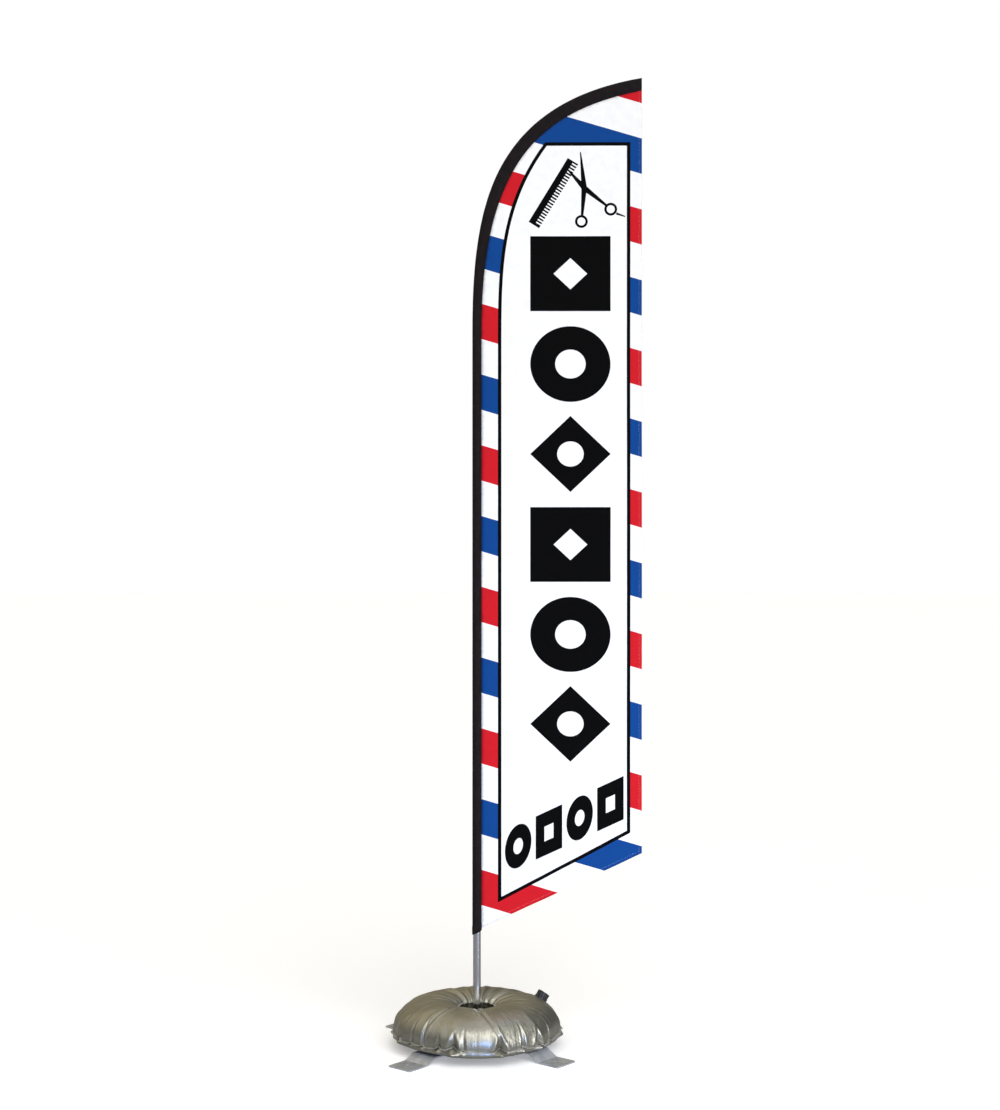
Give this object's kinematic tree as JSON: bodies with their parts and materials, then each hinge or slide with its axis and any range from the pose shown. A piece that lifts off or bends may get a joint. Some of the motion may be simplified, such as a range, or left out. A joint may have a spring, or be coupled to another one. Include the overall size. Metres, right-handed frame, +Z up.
{
  "type": "feather flag with pole",
  "caption": "Tall curved feather flag in a black sleeve on a sectional pole, turning on a bearing spindle over a folding crossbar base with a water ring weight.",
  "frame": {"origin": "on the floor, on the spindle's axis, at the centre of the circle of the four stake holes", "axes": "+Z up along the pole, +X the way the flag flies from the pole, +Y to the back, away from the viewer"},
  "size_m": [0.745, 0.546, 2.7656],
  "materials": {
    "galvanised_steel": "hot-dip galvanised, dull",
    "zinc_steel": "bright zinc plated",
    "black_steel": "black powder coat",
    "bearing_steel": "ground and polished",
    "bronze": "plain sintered bronze",
    "nylon": "natural",
    "black_plastic": "moulded, satin",
    "rubber": "matte",
    "pole_aluminium": "drawn, satin anodised",
    "glass_fibre": "pultruded, smooth",
    "sleeve_cloth": "black knitted polyester",
    "flag_cloth": "printed knitted polyester in white, red, blue and black",
    "pocket_webbing": "black woven webbing",
    "silver_vinyl": "metallic silver coated vinyl",
    "weld_vinyl": "metallic silver vinyl, pressed flat"
  },
  "bodies": {
    "lower_cross": {"lower_crossbar": "galvanised_steel", "pivot_bush": "bronze", "lower_friction_washer": "nylon", "upper_friction_washer": "nylon", "plain_washer": "zinc_steel", "spring_washer": "zinc_steel", "lock_nut": "zinc_steel", "pivot_bolt": "zinc_steel", "bearing_housing": "black_steel", "bearing_outer_races": "bearing_steel", "outer_spacer": "zinc_steel", "housing_circlip": "bearing_steel", "dust_cap": "black_plastic"},
    "upper_cross": {"upper_crossbar": "galvanised_steel"},
    "ball_sets": {"bearing_balls": "bearing_steel", "ball_cages": "nylon"},
    "spindle": {"spindle_shaft": "zinc_steel", "bearing_inner_races": "bearing_steel", "inner_spacer": "zinc_steel", "shaft_circlip": "bearing_steel", "spindle_o_rings": "rubber"},
    "pole_and_flag": {"lower_pole": "pole_aluminium", "middle_pole": "pole_aluminium", "joint_collar": "black_plastic", "rod_ferrule": "black_plastic", "tip_rod": "glass_fibre", "tip_cap": "black_plastic", "tip_pocket": "pocket_webbing", "pole_sleeve": "sleeve_cloth", "flag_panel": "flag_cloth"},
    "water_ring": {"water_bag": "silver_vinyl", "bag_rim_weld": "weld_vinyl", "bag_hole_weld": "weld_vinyl", "valve_body": "black_plastic", "valve_collar_nut": "black_plastic"},
    "cap_seal": {"cap_gasket": "rubber"},
    "screw_cap": {"valve_cap": "black_plastic"}
  },
  "joints": [
    {"name": "bar_fold", "type": "hinge", "parent": "lower_cross", "child": "upper_cross", "pos_m": [0, 0, 0.022], "axis": [0, 0, 1], "range_deg": [-65, 65]},
    {"name": "spindle_turn", "type": "hinge", "parent": "lower_cross", "child": "spindle", "pos_m": [0, 0, 0.053], "axis": [0, 0, 1], "continuous": true},
    {"name": "ball_roll", "type": "hinge", "parent": "lower_cross", "child": "ball_sets", "pos_m": [0, 0, 0.053], "axis": [0, 0, 1], "continuous": true},
    {"name": "pole_lift", "type": "slide", "parent": "spindle", "child": "pole_and_flag", "axis": [0, 0, 1], "range_m": [0, 0.18]},
    {"name": "ring_lift", "type": "slide", "parent": "lower_cross", "child": "water_ring", "axis": [0, 0, 1], "range_m": [0, 0.15]},
    {"name": "seal_lift", "type": "slide", "parent": "water_ring", "child": "cap_seal", "axis": [0.5214, 0.2772, 0.807], "range_m": [0, 0.0081]},
    {"name": "cap_turn", "type": "hinge", "parent": "cap_seal", "child": "screw_cap", "pos_m": [0.18299, 0.0973, 0.10364], "axis": [0.5214, 0.2772, 0.807], "range_deg": [0, 720]}
  ],
  "couplings": [
    {"joint": "ball_roll", "follows": "spindle_turn", "ratio": 0.40769},
    {"joint": "seal_lift", "follows": "cap_turn", "m_per_rad": 0.00063662}
  ]
}
